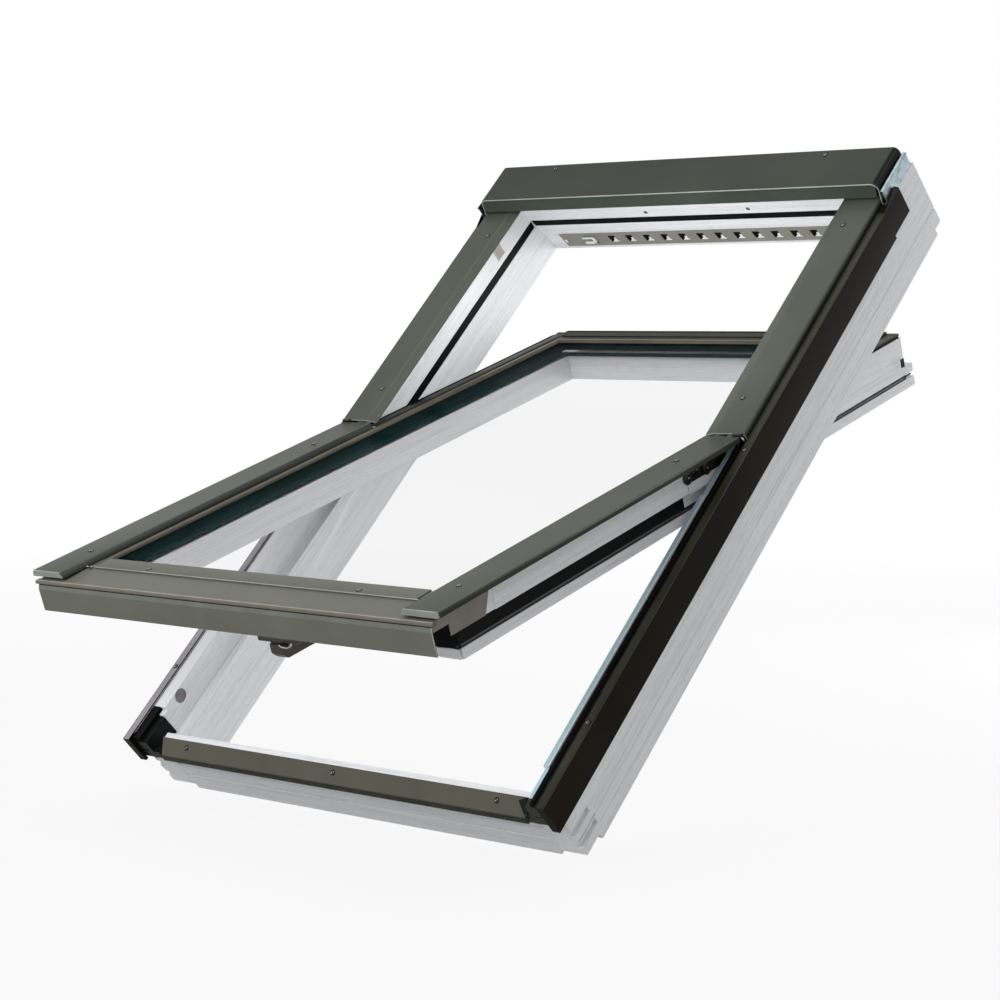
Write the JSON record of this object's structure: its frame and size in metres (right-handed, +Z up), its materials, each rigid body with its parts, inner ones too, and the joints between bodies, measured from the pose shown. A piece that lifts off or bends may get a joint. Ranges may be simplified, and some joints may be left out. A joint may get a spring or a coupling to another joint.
{
  "type": "centre pivot roof window",
  "caption": "Pitched timber roof window with aluminium claddings; its glazed sash swings on pivots at mid height, top inwards and foot outwards.",
  "frame": {"origin": "middle of the sill's room-side face", "axes": "+X across the window, to the right as seen from outside; +Y level, in towards the ridge; +Z up. The frame is pitched 45 degrees: its foot is low at -Y and its head high at +Y"},
  "size_m": [0.7874, 1.1282, 0.9447],
  "materials": {
    "catch": "beige moulded plastic",
    "cladding": "umber grey polyester coating, low gloss",
    "cladding_dark": "umber grey polyester coating seen in shade",
    "corner_plastic": "moulded black plastic",
    "galvanised": "bright galvanised steel",
    "gasket": "extruded black rubber",
    "glass": "clear float glass",
    "grille": "grey beige coated aluminium",
    "handle": "dark grey anodised aluminium",
    "hinge_black": "black zinc plated steel",
    "plug": "grey brown moulded plastic",
    "side_plate": "grey brown coated aluminium",
    "spacer": "dark edge spacer",
    "timber": "white painted pine with fine grain"
  },
  "bodies": {
    "frame": {"bolt_socket": "plug", "catch_plate": "catch", "corner_piece_left": "corner_plastic", "corner_piece_right": "corner_plastic", "frame_head": "timber", "frame_seal_head": "gasket", "frame_seal_left": "gasket", "frame_seal_right": "gasket", "frame_sill": "timber", "frame_stile_left": "timber", "frame_stile_right": "timber", "head_hood": "cladding", "head_strip_left": "galvanised", "head_strip_right": "galvanised", "pivot_cradle_left": "hinge_black", "pivot_cradle_right": "hinge_black", "sill_cladding": "cladding", "stile_cladding_left": "cladding_dark", "stile_cladding_right": "cladding_dark", "upper_cover_left": "cladding", "upper_cover_right": "cladding", "vent_grille": "grille", "vent_slider": "grille"},
    "sash": {"glass_inner": "glass", "glass_outer": "glass", "glass_spacer": "spacer", "glazing_seal": "gasket", "pivot_arm_left": "hinge_black", "pivot_arm_right": "hinge_black", "sash_apron": "cladding", "sash_bottom_rail": "timber", "sash_cover_left": "cladding", "sash_cover_right": "cladding", "sash_edge_left": "cladding_dark", "sash_edge_right": "cladding_dark", "sash_edge_top": "cladding_dark", "sash_handle": "handle", "sash_seal_left": "gasket", "sash_seal_right": "gasket", "sash_side_plate_left": "side_plate", "sash_side_plate_right": "side_plate", "sash_stile_left": "timber", "sash_stile_right": "timber", "sash_top_rail": "timber"}
  },
  "joints": [
    {"name": "sash_pivot", "type": "hinge", "parent": "frame", "child": "sash", "pos_m": [0, 0.32704, 0.5222], "axis": [-1, 0, 0], "range_deg": [-27.5, 132.5]}
  ]
}
